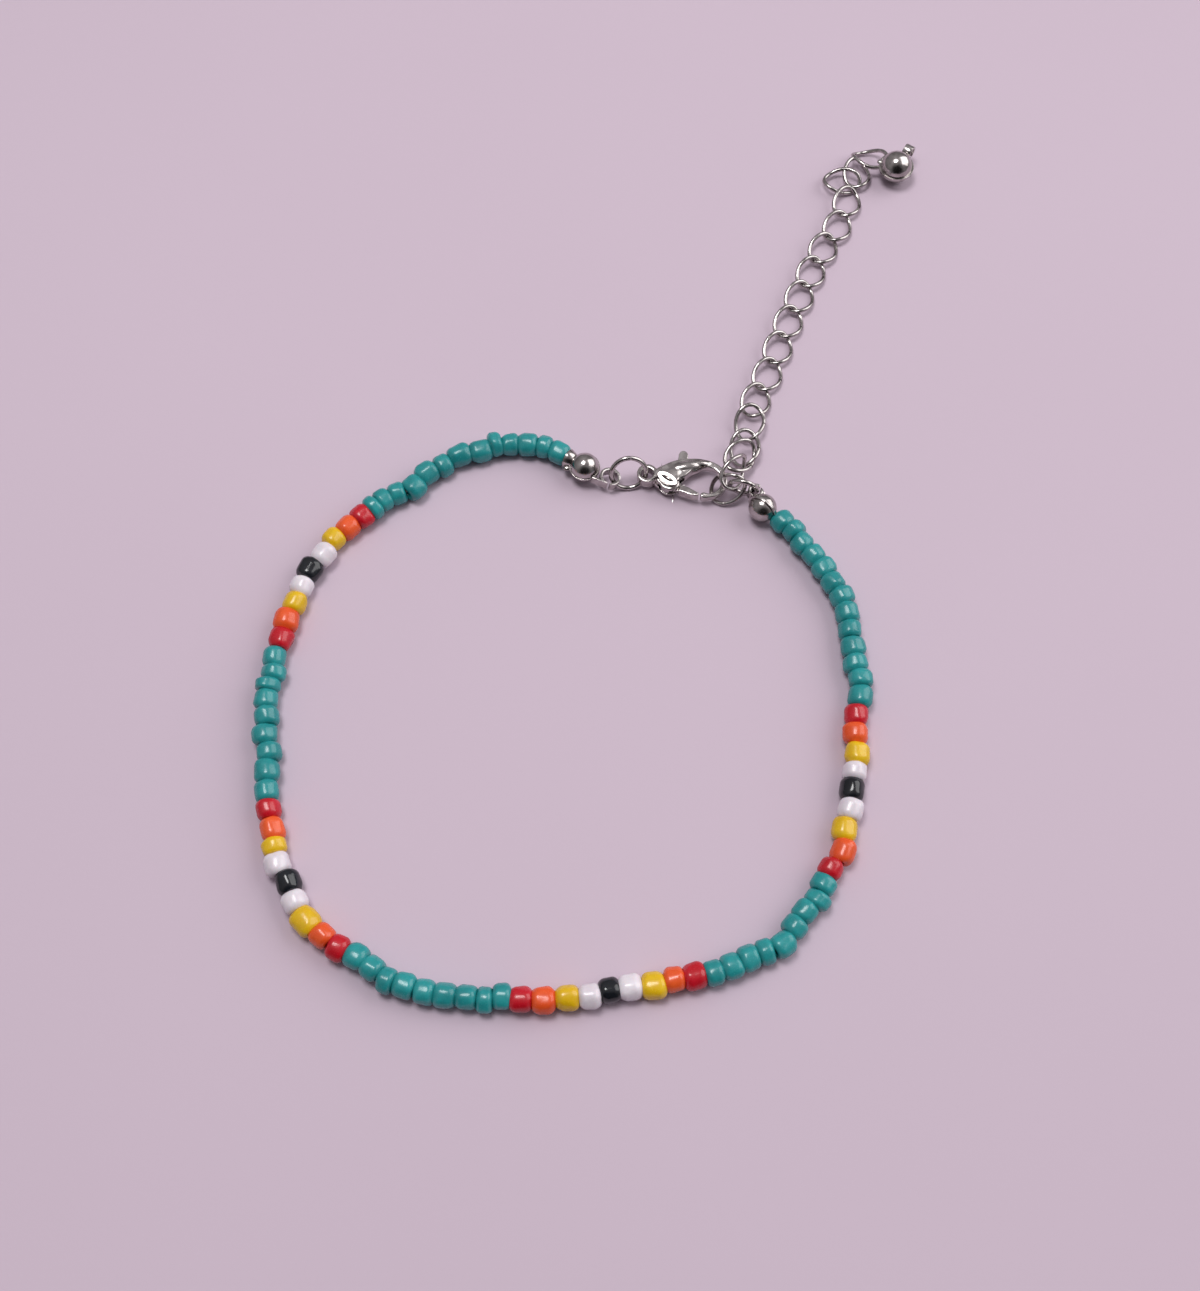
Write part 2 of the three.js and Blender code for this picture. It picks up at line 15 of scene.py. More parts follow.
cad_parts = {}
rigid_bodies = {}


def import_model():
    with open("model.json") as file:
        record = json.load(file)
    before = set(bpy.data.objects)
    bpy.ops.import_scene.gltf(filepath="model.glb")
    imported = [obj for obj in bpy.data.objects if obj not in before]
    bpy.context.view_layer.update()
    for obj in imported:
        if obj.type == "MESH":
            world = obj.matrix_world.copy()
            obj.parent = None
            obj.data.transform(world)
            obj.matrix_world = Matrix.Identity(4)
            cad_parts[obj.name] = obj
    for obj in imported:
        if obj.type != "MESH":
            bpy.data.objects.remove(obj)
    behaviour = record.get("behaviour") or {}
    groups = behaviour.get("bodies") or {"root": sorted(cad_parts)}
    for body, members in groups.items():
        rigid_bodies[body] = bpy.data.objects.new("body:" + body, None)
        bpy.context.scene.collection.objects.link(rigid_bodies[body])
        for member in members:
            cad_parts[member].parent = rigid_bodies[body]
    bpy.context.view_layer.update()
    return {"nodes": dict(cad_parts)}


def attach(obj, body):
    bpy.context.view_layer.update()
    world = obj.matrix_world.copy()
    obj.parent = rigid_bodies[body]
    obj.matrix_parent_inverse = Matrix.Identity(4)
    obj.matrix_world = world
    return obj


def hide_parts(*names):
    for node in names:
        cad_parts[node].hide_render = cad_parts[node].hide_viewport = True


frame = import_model()
print("frame nodes:", len(frame["nodes"]))

# %% [markdown]
# ## Camera
#
# The picture looks down at the table from 66 degrees, from the side of the bead loop. Places
# on the table are measured in millimetres from a point near the middle of the loop, and one
# helper turns them into the frame's metres. The lens is a normal one, so the camera stands
# close, as it does for a small thing on a table.

# %% Place the camera
MILLIMETRE = 0.001
OUTLINE_MIDDLE = Vector((1.404, 15.906, 0.0))
CAMERA_DISTANCE = 0.190
CAMERA_ELEVATION = math.radians(66)
SENSOR_WIDTH = 36
FOCAL_LENGTH = 43.14


def table(x, y, z=0.0):
    return (Vector((x, y, z)) - OUTLINE_MIDDLE) * MILLIMETRE


camera_data = bpy.data.cameras.new("photo_camera")
camera_data.sensor_width = SENSOR_WIDTH
camera_data.lens = FOCAL_LENGTH
camera_data.clip_start = 0.01
camera = bpy.data.objects.new("photo_camera", camera_data)
bpy.context.collection.objects.link(camera)
away = Vector((0, -math.cos(CAMERA_ELEVATION), math.sin(CAMERA_ELEVATION)))
camera.location = table(0, 0) + away * CAMERA_DISTANCE
camera.rotation_euler = (math.pi / 2 - CAMERA_ELEVATION, 0, 0)
bpy.context.scene.camera = camera
print("camera at", [round(value, 4) for value in camera.location])

# %% [markdown]
# ## Small helpers
#
# Blender's operators act on whatever is selected, so each piece starts with nothing selected.
# A finished piece keeps its object at the origin and has its place in its mesh, because the
# patterns of its finish are read in that space. Pieces are modelled in millimetres and brought
# to the frame's metres as they are put in their place.

# %% Helpers for making and placing pieces
TO_METRES = Matrix.Scale(MILLIMETRE, 4)


def start_piece():
    if bpy.context.mode != "OBJECT":
        bpy.ops.object.mode_set(mode="OBJECT")
    bpy.ops.object.select_all(action="DESELECT")


def choose(*pieces):
    start_piece()
    for piece in pieces:
        piece.select_set(True)
    bpy.context.view_layer.objects.active = pieces[0]


def fix_place(piece):
    choose(piece)
    bpy.ops.object.transform_apply(location=True, rotation=True, scale=True)


def apply_modifier(piece, kind, **settings):
    choose(piece)
    modifier = piece.modifiers.new(kind.lower(), kind)
    for name, value in settings.items():
        setattr(modifier, name, value)
    bpy.ops.object.modifier_apply(modifier=modifier.name)


def soften(piece, width, degrees):
    apply_modifier(piece, "BEVEL", width=width, segments=2, limit_method="ANGLE",
                   angle_limit=math.radians(degrees))


def copy_of(master, name, place):
    piece = master.copy()
    piece.data = master.data.copy()
    piece.name = name
    bpy.context.collection.objects.link(piece)
    piece.data.transform(place)
    return piece


def join(name, pieces):
    choose(*pieces)
    bpy.ops.object.join()
    pieces[0].name = name
    return pieces[0]


def drop(piece):
    bpy.data.objects.remove(piece, do_unlink=True)


def smooth(piece, degrees):
    choose(piece)
    bpy.ops.object.shade_smooth_by_angle(angle=math.radians(degrees))


def select_only(kind):
    bpy.ops.object.mode_set(mode="EDIT")
    bpy.ops.mesh.select_mode(type=kind)
    bpy.ops.mesh.select_all(action="DESELECT")
    bpy.ops.object.mode_set(mode="OBJECT")


def select_faces(piece, wanted):
    select_only("FACE")
    for face in piece.data.polygons:
        face.select = wanted(face.normal)
    bpy.ops.object.mode_set(mode="EDIT")


def select_edges(piece, wanted):
    select_only("EDGE")
    points = piece.data.vertices
    for edge in piece.data.edges:
        a, b = (points[number].co for number in edge.vertices)
        edge.select = wanted(a, b)
    bpy.ops.object.mode_set(mode="EDIT")


def close_mesh(merge_distance):
    bpy.ops.mesh.select_all(action="SELECT")
    bpy.ops.mesh.remove_doubles(threshold=merge_distance)
    bpy.ops.mesh.normals_make_consistent(inside=False)
    bpy.ops.object.mode_set(mode="OBJECT")


def turned(heading, pitch=0.0, roll=0.0):
    return (Matrix.Rotation(math.radians(heading), 4, "Z")
            @ Matrix.Rotation(-math.radians(pitch), 4, "Y")
            @ Matrix.Rotation(math.radians(roll), 4, "X"))


def finish_piece(piece, finish, body, slot, *nodes):
    piece.data.materials.clear()
    piece.data.materials.append(finish)
    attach(piece, body)
    if nodes:
        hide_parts(*nodes)


# %% [markdown]
# ## Writing finishes as sums
#
# A finish is a small network of nodes. Wrapping a socket in a class that knows how to add and
# multiply lets the network be written as a sum, and one method makes every other node.

# %% A finish and its signals


class Signal:
    def __init__(self, finish, socket):
        self.finish = finish
        self.socket = socket

    def combine(self, operation, first, second):
        node = self.finish.node("ShaderNodeMath", {"operation": operation},
                                {0: first, 1: second})
        return Signal(self.finish, node.outputs[0])

    def __add__(self, other):
        return self.combine("ADD", self, other)

    def __sub__(self, other):
        return self.combine("SUBTRACT", self, other)

    def __rsub__(self, other):
        return self.combine("SUBTRACT", other, self)

    def __mul__(self, other):
        return self.combine("MULTIPLY", self, other)

    __radd__ = __add__
    __rmul__ = __mul__


class Finish:
    def __init__(self, name, **constants):
        self.material = bpy.data.materials.new(name)
        self.material.use_nodes = True
        self.tree = self.material.node_tree
        self.shader = self.tree.nodes["Principled BSDF"]
        self.place = self.node("ShaderNodeTexCoord").outputs["Object"]
        for socket, value in constants.items():
            self.shader.inputs[socket.replace("_", " ").title()].default_value = value

    def node(self, kind, settings=None, sockets=None):
        node = self.tree.nodes.new(kind)
        for name, value in (settings or {}).items():
            setattr(node, name, value)
        for key, value in (sockets or {}).items():
            self.connect(node.inputs[key], value)
        return node

    def connect(self, socket, value):
        if isinstance(value, Signal):
            value = value.socket
        if isinstance(value, bpy.types.NodeSocket):
            self.tree.links.new(socket, value)
        else:
            socket.default_value = value

    def noise(self, scale, detail=2.0, roughness=0.5):
        node = self.node("ShaderNodeTexNoise", {}, {
            "Vector": self.place, "Scale": scale, "Detail": detail, "Roughness": roughness})
        return Signal(self, node.outputs["Fac"])

    def ramp(self, signal, low, high):
        node = self.node("ShaderNodeMapRange", {"clamp": True}, {
            "Value": signal, "From Min": low, "From Max": high})
        return Signal(self, node.outputs["Result"])

    def blend(self, signal, first, second):
        node = self.node("ShaderNodeMix", {"data_type": "RGBA"},
                         {0: signal, 6: first, 7: second})
        return node.outputs[2]

    def bump(self, height, distance, strength):
        node = self.node("ShaderNodeBump", {}, {
            "Strength": strength, "Distance": distance, "Height": height})
        self.connect(self.shader.inputs["Normal"], node.outputs["Normal"])

    def feed(self, **signals):
        for socket, value in signals.items():
            self.connect(self.shader.inputs[socket.replace("_", " ").title()], value)


# %% [markdown]
# ## Opaque glass
#
# The beads are cut from drawn glass cane and tumbled hot, so they are solid colour right
# through, glossy, and a little uneven. The colour drifts slightly from bead to bead, the gloss
# is broken by faint draw marks, and a low bump keeps the highlights from being perfect.

# %% Make the six glass finishes


def glass_finish(name, deep, bright, roughness=0.19):
    finish = Finish(name, coat_roughness=0.08, subsurface_weight=0.06,
                    subsurface_scale=0.0006)
    bead_to_bead = finish.noise(260, detail=1.0)
    cloud = finish.noise(1400, detail=3.0)
    marks = finish.noise(5200, detail=4.0, roughness=0.65)
    mix = finish.ramp(bead_to_bead * 0.6 + cloud * 0.4, 0.34, 0.66)
    finish.feed(base_color=finish.blend(mix, (*deep, 1), (*bright, 1)),
                roughness=roughness + marks * 0.14,
                coat_weight=0.2 - cloud * 0.16)
    finish.bump(cloud + marks * 0.18, 0.00003, 0.55)
    return finish.material


GLASS = {
    "turquoise": glass_finish("turquoise_glass", (0.013, 0.212, 0.222), (0.022, 0.300, 0.308)),
    "red": glass_finish("red_glass", (0.43, 0.005, 0.013), (0.56, 0.009, 0.022)),
    "orange": glass_finish("orange_glass", (0.68, 0.070, 0.013), (0.80, 0.108, 0.022)),
    "yellow": glass_finish("yellow_glass", (0.64, 0.38, 0.005), (0.76, 0.48, 0.010)),
    "white": glass_finish("white_glass", (0.66, 0.59, 0.65), (0.77, 0.71, 0.76)),
    "black": glass_finish("black_glass", (0.004, 0.005, 0.007), (0.010, 0.012, 0.016), 0.08),
}
print("glass finishes:", ", ".join(GLASS))

# %% [markdown]
# ## Bright plate
#
# The findings are brass under a thin bright plate. It is a mirror with small faults: soft
# hammer-like waves from the stamping, fine tumbling scratches, and a slightly darker tone
# where the plate is thin. The clasp is cast, so its waves are larger.

# %% Make the plated finishes


def plate_finish(name, dark, bright, wave_scale, wave_height):
    finish = Finish(name, metallic=1.0)
    tone = finish.ramp(finish.noise(900, detail=3.0), 0.38, 0.62)
    waves = finish.noise(wave_scale)
    scratches = finish.noise(9000, detail=5.0, roughness=0.7)
    finish.feed(base_color=finish.blend(tone, (*dark, 1), (*bright, 1)),
                roughness=0.10 + scratches * 0.12 + tone * 0.05)
    finish.bump(waves + scratches * 0.05, wave_height, 0.6)
    return finish.material


PLATE = plate_finish("silver_plate", (0.36, 0.33, 0.32), (0.52, 0.485, 0.475), 1500, 0.00005)
CLASP_PLATE = plate_finish("bright_plate", (0.40, 0.365, 0.355), (0.56, 0.52, 0.51),
                           700, 0.00008)

# %% [markdown]
# ## The string's route
#
# The beads lie on one thread, so their places come from one smooth line on the table and the
# length of each bead. The line is a Catmull-Rom curve through points that were read off,
# measured along its length, and the stringing chart gives each bead's colour, length and how
# far it has slipped off the line.

# %% Lay out the route and string the beads on it
ROUTE = [
    (-2.0, 24.3), (-5.2, 26.5), (-9.3, 27.7), (-13.3, 27.6), (-18.6, 25.5), (-22.2, 23.2),
    (-24.2, 21.2), (-27.0, 19.8), (-31.7, 15.6), (-34.8, 11.3), (-37.3, 6.0), (-39.0, -0.5),
    (-39.9, -7.0), (-39.2, -14.8), (-38.4, -22.2), (-36.4, -29.1), (-32.5, -35.2),
    (-27.2, -38.9), (-23.8, -41.1), (-18.0, -42.9), (-7.5, -43.5), (1.3, -42.4),
    (10.8, -40.9), (18.0, -38.3), (21.3, -36.3), (23.6, -33.2), (25.4, -30.6),
    (27.9, -25.8), (29.5, -18.6), (30.6, -9.8), (31.3, -5.5), (30.6, 0.5), (30.0, 5.6),
    (27.0, 11.2), (22.7, 16.7), (20.2, 18.25),
]
PATTERN = ["red", "orange", "yellow", "white", "black", "white", "yellow", "orange", "red"]
CHART = [
    ("ebecafgcfdbba", ".o.ioiO.oi.o.", True),
    ("dedffdeff", "..O.Oo.o.", False),
    ("ebaddedfe", "oIoo.Oioo", True),
    ("dfbefdgdd", ".i.oI.o.o", False),
    ("edbedeebc", "iio....oI", True),
    ("effedffde", ".ooO..oi.", False),
    ("cddbecdbc", "oo.oOiiO.", True),
    ("dffefcfee", "iOio.oO..", False),
    ("eccedecddddbd", "ooi....i..iO.", True),
]
LENGTHS = {"a": 1.4, "b": 1.65, "c": 1.9, "d": 2.1, "e": 2.3, "f": 2.5, "g": 2.75}
SIDE_STEPS = {"O": -0.32, "o": -0.16, ".": 0.0, "i": 0.16, "I": 0.32}
BEAD_RADIUS = 1.45
THIN_BEAD_RADIUS = 1.55
BEAD_GAP = 0.045
BEND_ROOM = 0.95
FIRST_BEAD_AT = 3.9
TABLE_GAP = 0.03


def curve_line(points, steps=40):
    ends = [2 * points[0] - points[1], *points, 2 * points[-1] - points[-2]]
    line = []
    for before, start, end, after in zip(ends, ends[1:], ends[2:], ends[3:]):
        for step in range(steps):
            t = step / steps
            line.append(0.5 * (2 * start + (end - before) * t
                               + (2 * before - 5 * start + 4 * end - after) * t ** 2
                               + (3 * start - before - 3 * end + after) * t ** 3))
    return line + [points[-1]]


LINE = curve_line([Vector((x, y, 0)) for x, y in ROUTE])
TRAVEL = [0.0]
for start, end in zip(LINE, LINE[1:]):
    TRAVEL.append(TRAVEL[-1] + (end - start).length)


def on_route(place):
    number = next((n for n, travel in enumerate(TRAVEL) if travel > place), len(LINE) - 1)
    start, end = LINE[number - 1], LINE[number]
    share = (place - TRAVEL[number - 1]) / (TRAVEL[number] - TRAVEL[number - 1])
    return start.lerp(end, share), (end - start).normalized()


def string_beads():
    beads = []
    place = FIRST_BEAD_AT
    for lengths, sides, is_turquoise in CHART:
        for number, (letter, side) in enumerate(zip(lengths, sides)):
            length = LENGTHS[letter]
            if beads:
                step = (beads[-1]["length"] + length) / 2
                turn = on_route(place)[1].angle(on_route(place + step)[1])
                place += step + BEAD_GAP + BEND_ROOM * turn
            centre, way = on_route(place)
            inward = Vector((-way.y, way.x, 0))
            radius = THIN_BEAD_RADIUS if letter == "a" else BEAD_RADIUS
            centre = centre + inward * SIDE_STEPS[side] + Vector((0, 0, radius + TABLE_GAP))
            beads.append({"centre": centre, "way": way, "length": length, "radius": radius,
                          "place": place,
                          "colour": "turquoise" if is_turquoise else PATTERN[number]})
    return beads


BEADS = string_beads()
print("route", round(TRAVEL[-1], 1), "mm,", len(BEADS), "beads, last at",
      [round(value, 2) for value in BEADS[-1]["centre"]])

# %% [markdown]
# ## One bead
#
# A bead starts as a cylinder. Its two end faces are inset and bridged, which drills the hole,
# and the outer edges are bevelled deeply, because tumbling the hot glass rounds them until
# little of the straight side is left. It is made once, along Y, and each copy is stretched to
# its own length.

# %% Model the bead that is copied
HOLE_RADIUS = 0.5
MASTER_HALF_LENGTH = 1.05
EDGE_BEVEL = 0.72
HOLE_BEVEL = 0.14


def drilled_bead():
    start_piece()
    bpy.ops.mesh.primitive_cylinder_add(
        vertices=36, radius=BEAD_RADIUS, depth=2 * MASTER_HALF_LENGTH,
        end_fill_type="NGON", rotation=(math.pi / 2, 0, 0))
    bead = bpy.context.object
    fix_place(bead)
    select_faces(bead, lambda normal: abs(normal.y) > 0.9)
    bpy.ops.mesh.inset(thickness=BEAD_RADIUS - HOLE_RADIUS, use_individual=True)
    bpy.ops.mesh.bridge_edge_loops()
    select_edges(bead, lambda a, b: same_end(a, b) and min(reach(a), reach(b)) > 1.2)
    bpy.ops.mesh.bevel(offset=EDGE_BEVEL, segments=8, profile=0.5, affect="EDGES")
    select_edges(bead, lambda a, b: same_end(a, b) and max(reach(a), reach(b)) < 0.6)
    bpy.ops.mesh.bevel(offset=HOLE_BEVEL, segments=3, affect="EDGES")
    bpy.ops.object.mode_set(mode="OBJECT")
    smooth(bead, 60)
    return bead


def reach(point):
    return math.hypot(point.x, point.z)


def same_end(a, b):
    return abs(a.y) > MASTER_HALF_LENGTH - 0.01 and abs(a.y - b.y) < 0.01


bead_master = drilled_bead()
print("bead master:", len(bead_master.data.polygons), "faces")

# %% [markdown]
# ## The string of beads
#
# No two beads are alike. Each copy is stretched to its length, tipped a degree or two, and
# then pushed about by a soft cloud texture that is read at the bead's own place, so every
# bead gets dents of its own. A turquoise run becomes one piece, and each bead of the coloured
# pattern stays a piece by itself.

# %% Copy the bead along the string
FREE_ROOM = 0.04
TOUCHING = 0.18
WIDTHS = (0.97, 1.07)
MOST_TURN = 5
MOST_TIP = 4
DENT_SIZE = 0.0017
DENT_DEPTH = 0.00034
tips = random.Random(11)


def room_after(number):
    if number < 0 or number + 1 >= len(BEADS):
        return FREE_ROOM
    here, there = BEADS[number], BEADS[number + 1]
    return there["place"] - here["place"] - (here["length"] + there["length"]) / 2


lumps = bpy.data.textures.new("glass_lumps", "CLOUDS")
lumps.noise_scale = DENT_SIZE
lumps.noise_depth = 1


def bead_at(number):
    bead = BEADS[number]
    room_before, room_behind = room_after(number - 1), room_after(number)
    length = bead["length"] + (room_before + room_behind) / 2 + TOUCHING
    centre = bead["centre"] + bead["way"] * (room_behind - room_before) / 4
    heading = math.degrees(math.atan2(bead["way"].y, bead["way"].x)) - 90
    stretch = Matrix.Diagonal((bead["radius"] / BEAD_RADIUS * tips.uniform(*WIDTHS),
                               length / (2 * MASTER_HALF_LENGTH),
                               bead["radius"] / BEAD_RADIUS, 1))
    place = (Matrix.Translation(table(*centre))
             @ turned(heading + tips.uniform(-MOST_TURN, MOST_TURN), 0,
                      tips.uniform(-MOST_TIP, MOST_TIP))
             @ TO_METRES
             @ stretch @ Matrix.Rotation(tips.uniform(0, 6.28), 4, "Y"))
    piece = copy_of(bead_master, f"{bead['colour']}_bead_{number + 1:02d}", place)
    apply_modifier(piece, "DISPLACE", texture=lumps, texture_coords="LOCAL",
                   strength=DENT_DEPTH, mid_level=0.5)
    return piece


first = 0
run = 0
for lengths, _, is_turquoise in CHART:
    members = [bead_at(number) for number in range(first, first + len(lengths))]
    if is_turquoise:
        run += 1
        string = join(f"turquoise_beads_{run}", members)
        finish_piece(string, GLASS["turquoise"], "anklet", "turquoise_glass",
                     f"turquoise_run_{run}")
    else:
        for number, piece in enumerate(members, first + 1):
            colour = BEADS[number - 1]["colour"]
            finish_piece(piece, GLASS[colour], "anklet", f"{colour}_glass",
                         f"bead_{number:02d}_{colour}")
    first += len(lengths)
drop(bead_master)
print("beads strung:", first)

# %% [markdown]
# ## The thread
#
# A thin pale nylon thread shows only where two beads stand apart. It is a poly curve with a
# round section that follows the route and rises into the clamshells at both ends.

# %% Run the thread through the beads
THREAD_RADIUS = 0.2
THREAD_END_HEIGHT = 2.0
THREAD_HEIGHT = 1.45
THREAD_RISE = 2.7
THREAD_STEPS = 300


def wire(name, points, radius, sides):
    data = bpy.data.curves.new(name, "CURVE")
    data.dimensions = "3D"
    spline = data.splines.new("POLY")
    spline.points.add(len(points) - 1)
    for target, point in zip(spline.points, points):
        target.co = (*point, 1)
    data.bevel_depth = radius
    data.bevel_resolution = sides
    data.use_fill_caps = True
    piece = bpy.data.objects.new(name, data)
    bpy.context.collection.objects.link(piece)
    choose(piece)
    bpy.ops.object.convert(target="MESH")
    return bpy.context.object


def thread_points():
    points = []
    for number in range(THREAD_STEPS + 1):
        place = TRAVEL[-1] * number / THREAD_STEPS
        point = on_route(min(place, TRAVEL[-1] - 1e-6))[0]
        level = min(1.0, min(place, TRAVEL[-1] - place) / THREAD_RISE)
        height = THREAD_END_HEIGHT + (THREAD_HEIGHT - THREAD_END_HEIGHT) * level
        points.append(table(point.x, point.y, height))
    return points


nylon = Finish("thread", roughness=0.5)
nylon.feed(base_color=nylon.blend(nylon.noise(4000),
                                  (0.55, 0.52, 0.54, 1), (0.7, 0.67, 0.69, 1)))
thread = wire("thread", thread_points(), THREAD_RADIUS * MILLIMETRE, sides=3)
smooth(thread, 60)
finish_piece(thread, nylon.material, "anklet", "white_glass")

# %% [markdown]
# ## Clamshells
#
# A clamshell is stamped from thin sheet: two cups joined by a fold, closed over the knot, and
# a tongue of the same sheet curled into an eye. One cup is a sphere cut in half by bisect,
# with its open edge extruded into a narrow flange, and Solidify gives the sheet its
# thickness. The second cup is its mirror image, a hair apart, so the seam shows.

# %% Model the clamshell's cup and tongue
BALL_RADIUS = 1.87
END_BALL_RADIUS = 2.2
SHEET = 0.26
SEAM = 0.05
TONGUE_WIDTH = 1.2
TONGUE_THICKNESS = 0.34
CURL_DEGREES = 338
CURL_STEPS = 22


def cup(radius, rim_radius):
    start_piece()
    bpy.ops.mesh.primitive_uv_sphere_add(segments=56, ring_count=28, radius=radius)
    shell = bpy.context.object
    bpy.ops.object.mode_set(mode="EDIT")
    bpy.ops.mesh.select_all(action="SELECT")
    bpy.ops.mesh.bisect(plane_co=(0, 0, SEAM), plane_no=(0, 0, 1), clear_inner=True)
    select_edges(shell, lambda a, b: max(a.z, b.z) < SEAM + 0.001)
    bpy.ops.mesh.extrude_region_move()
    widen = rim_radius / radius
    bpy.ops.transform.resize(value=(widen, widen, 1), center_override=(0, 0, SEAM))
    bpy.ops.object.mode_set(mode="OBJECT")
    apply_modifier(shell, "SOLIDIFY", thickness=SHEET, offset=-1.0)
    soften(shell, 0.05, 50)
    smooth(shell, 50)
    return shell


def tongue(length, curl_radius):
    start_piece()
    bpy.ops.mesh.primitive_plane_add(size=1)
    strip = bpy.context.object
    strip.scale = (length, TONGUE_WIDTH, 1)
    strip.location = (length / 2, 0, 0)
    fix_place(strip)
    bpy.ops.object.mode_set(mode="EDIT")
    select_edges(strip, lambda a, b: min(a.x, b.x) > length - 0.001)
    bpy.ops.mesh.spin(steps=CURL_STEPS, angle=math.radians(CURL_DEGREES),
                      center=(length, 0, curl_radius), axis=(0, -1, 0))
    bpy.ops.object.mode_set(mode="OBJECT")
    apply_modifier(strip, "SOLIDIFY", thickness=TONGUE_THICKNESS, offset=0.0)
    soften(strip, 0.06, 40)
    smooth(strip, 50)
    return strip


small_cup = cup(BALL_RADIUS, 1.97)
ridged_cup = cup(BALL_RADIUS - 0.08, 2.08)
large_cup = cup(END_BALL_RADIUS, 2.46)
print("cups:", [len(piece.data.polygons) for piece in (small_cup, ridged_cup, large_cup)], "faces")

# %% [markdown]
# On the string's side the two cups end in a short flared mouth that lets the thread in. It is
# an open cone with the thickness of the sheet.

# %% Model the flared mouth


def flared_mouth():
    start_piece()
    bpy.ops.mesh.primitive_cone_add(vertices=40, radius1=0.95, radius2=1.32, depth=1.0,
                                    end_fill_type="NOTHING")
    mouth = bpy.context.object
    apply_modifier(mouth, "SOLIDIFY", thickness=0.22, offset=-1.0)
    soften(mouth, 0.06, 50)
    smooth(mouth, 50)
    return mouth


mouth_master = flared_mouth()
print("mouth:", len(mouth_master.data.polygons), "faces")

# %% [markdown]
# Each clamshell takes two cups, turned so that the seam lies as it does on the real one:
# level on the left and at the chain's end, and upright along the string on the right. The
# tongue runs from the ball to the place of its eye.

# %% Assemble the three clamshells
LEVEL = Matrix.Identity(4)
UPRIGHT = turned(-38) @ Matrix.Rotation(math.pi / 2, 4, "X")
TONGUE_OVERLAP = 0.35
LUG_RADIUS = 0.42
LUG_SHAPE = Matrix.Diagonal((1.2, 1.0, 0.62, 1))
MOUTH_STAND_OFF = 0.28


def clamshell(name, master, ball, radius, seam_turn, eye, eye_axis, curl, lug_way,
              string_way, node):
    centre = Matrix.Translation(table(*ball)) @ seam_turn @ TO_METRES
    upper = copy_of(master, "cup", centre)
    lower = copy_of(master, "cup", centre @ Matrix.Scale(-1, 4, (0, 0, 1)))
    choose(lower)
    bpy.ops.object.mode_set(mode="EDIT")
    bpy.ops.mesh.select_all(action="SELECT")
    bpy.ops.mesh.normals_make_consistent(inside=False)
    bpy.ops.object.mode_set(mode="OBJECT")
    ball, eye = Vector(ball), Vector(eye)
    along = (eye - ball).normalized()
    axis = (Vector(eye_axis) - along * Vector(eye_axis).dot(along)).normalized()
    up = axis.cross(along)
    strip_length = max((eye - ball).length - radius + TONGUE_OVERLAP, TONGUE_OVERLAP)
    strip = tongue(strip_length, curl)
    start = eye - up * curl - along * strip_length
    basis = Matrix((along, -axis, up)).transposed().to_4x4()
    place = Matrix.Translation(table(*start)) @ basis @ TO_METRES
    strip.data.transform(place)
    start_piece()
    bpy.ops.mesh.primitive_uv_sphere_add(segments=20, ring_count=12, radius=LUG_RADIUS)
    lug = bpy.context.object
    lug.data.transform(Matrix.Translation(table(*(ball + Vector(lug_way))))
                       @ seam_turn @ TO_METRES @ LUG_SHAPE)
    smooth(lug, 60)
    parts = [upper, lower, strip, lug]
    if string_way:
        way = Vector(string_way).normalized()
        facing = way.to_track_quat("Z", "Y").to_matrix().to_4x4()
        middle = ball + way * (radius + MOUTH_STAND_OFF)
        parts.append(copy_of(mouth_master, "mouth",
                             Matrix.Translation(table(*middle)) @ facing @ TO_METRES))
    finish_piece(join(name, parts), PLATE, "anklet", "silver_plate", node)


clamshell("left_clamshell", small_cup, (-1.95, 24.15, BALL_RADIUS), BALL_RADIUS, LEVEL,
          (1.2, 22.75, 1.35), (0, 0.15, 1), 1.18, (-2.3, 0.05, -0.25), (-3.0, 2.0, -0.3),
          "clamshell_left")
clamshell("right_clamshell", ridged_cup, (20.55, 18.15, 2.05), BALL_RADIUS, UPRIGHT,
          (19.68, 20.4, 2.0), (0.1, 0.1, 1), 0.8, (1.6, -1.3, -0.1), None, "clamshell_right")
clamshell("end_clamshell", large_cup, (41.65, 72.7, END_BALL_RADIUS), END_BALL_RADIUS, LEVEL,
          (43.55, 75.45, 2.1), (0.85, -0.53, 0), 0.85, (-2.1, 0.9, 0.0), None, "clamshell_end")
for master in (small_cup, ridged_cup, large_cup, mouth_master):
    drop(master)

# %% [markdown]
# ## Jump rings
#
# A jump ring is a round of wire that is cut once, so that it can be opened. A filled circle is
# spun almost all the way round, and the small gap that is left is the ring's cut.

# %% Spin the two jump rings
RING_STEPS = 80
RING_SWEEP = math.radians(358)


def jump_ring(name, x, y, z, heading, roll, radius, wire_radius, cut_at, node):
    start_piece()
    bpy.ops.mesh.primitive_circle_add(vertices=16, radius=wire_radius, fill_type="NGON",
                                      location=(radius, 0, 0), rotation=(math.pi / 2, 0, 0))
    ring = bpy.context.object
    fix_place(ring)
    bpy.ops.object.mode_set(mode="EDIT")
    bpy.ops.mesh.select_all(action="SELECT")
    bpy.ops.mesh.spin(steps=RING_STEPS, angle=RING_SWEEP, center=(0, 0, 0), axis=(0, 0, 1))
    close_mesh(0.0001)
    ring.data.transform(Matrix.Translation(table(x, y, z)) @ turned(heading, 0, roll)
                        @ turned(cut_at) @ TO_METRES)
    ring.name = name
    smooth(ring, 50)
    finish_piece(ring, PLATE, "anklet", "silver_plate", node)


jump_ring("left_jump_ring", 3.65, 23.0, 2.35, 8, 64, 2.25, 0.31, 80, "jump_ring_clasp")
jump_ring("right_jump_ring", 18.2, 20.9, 2.4, -15, 97, 1.75, 0.32, 60, "jump_ring_chain")
print("two jump rings")

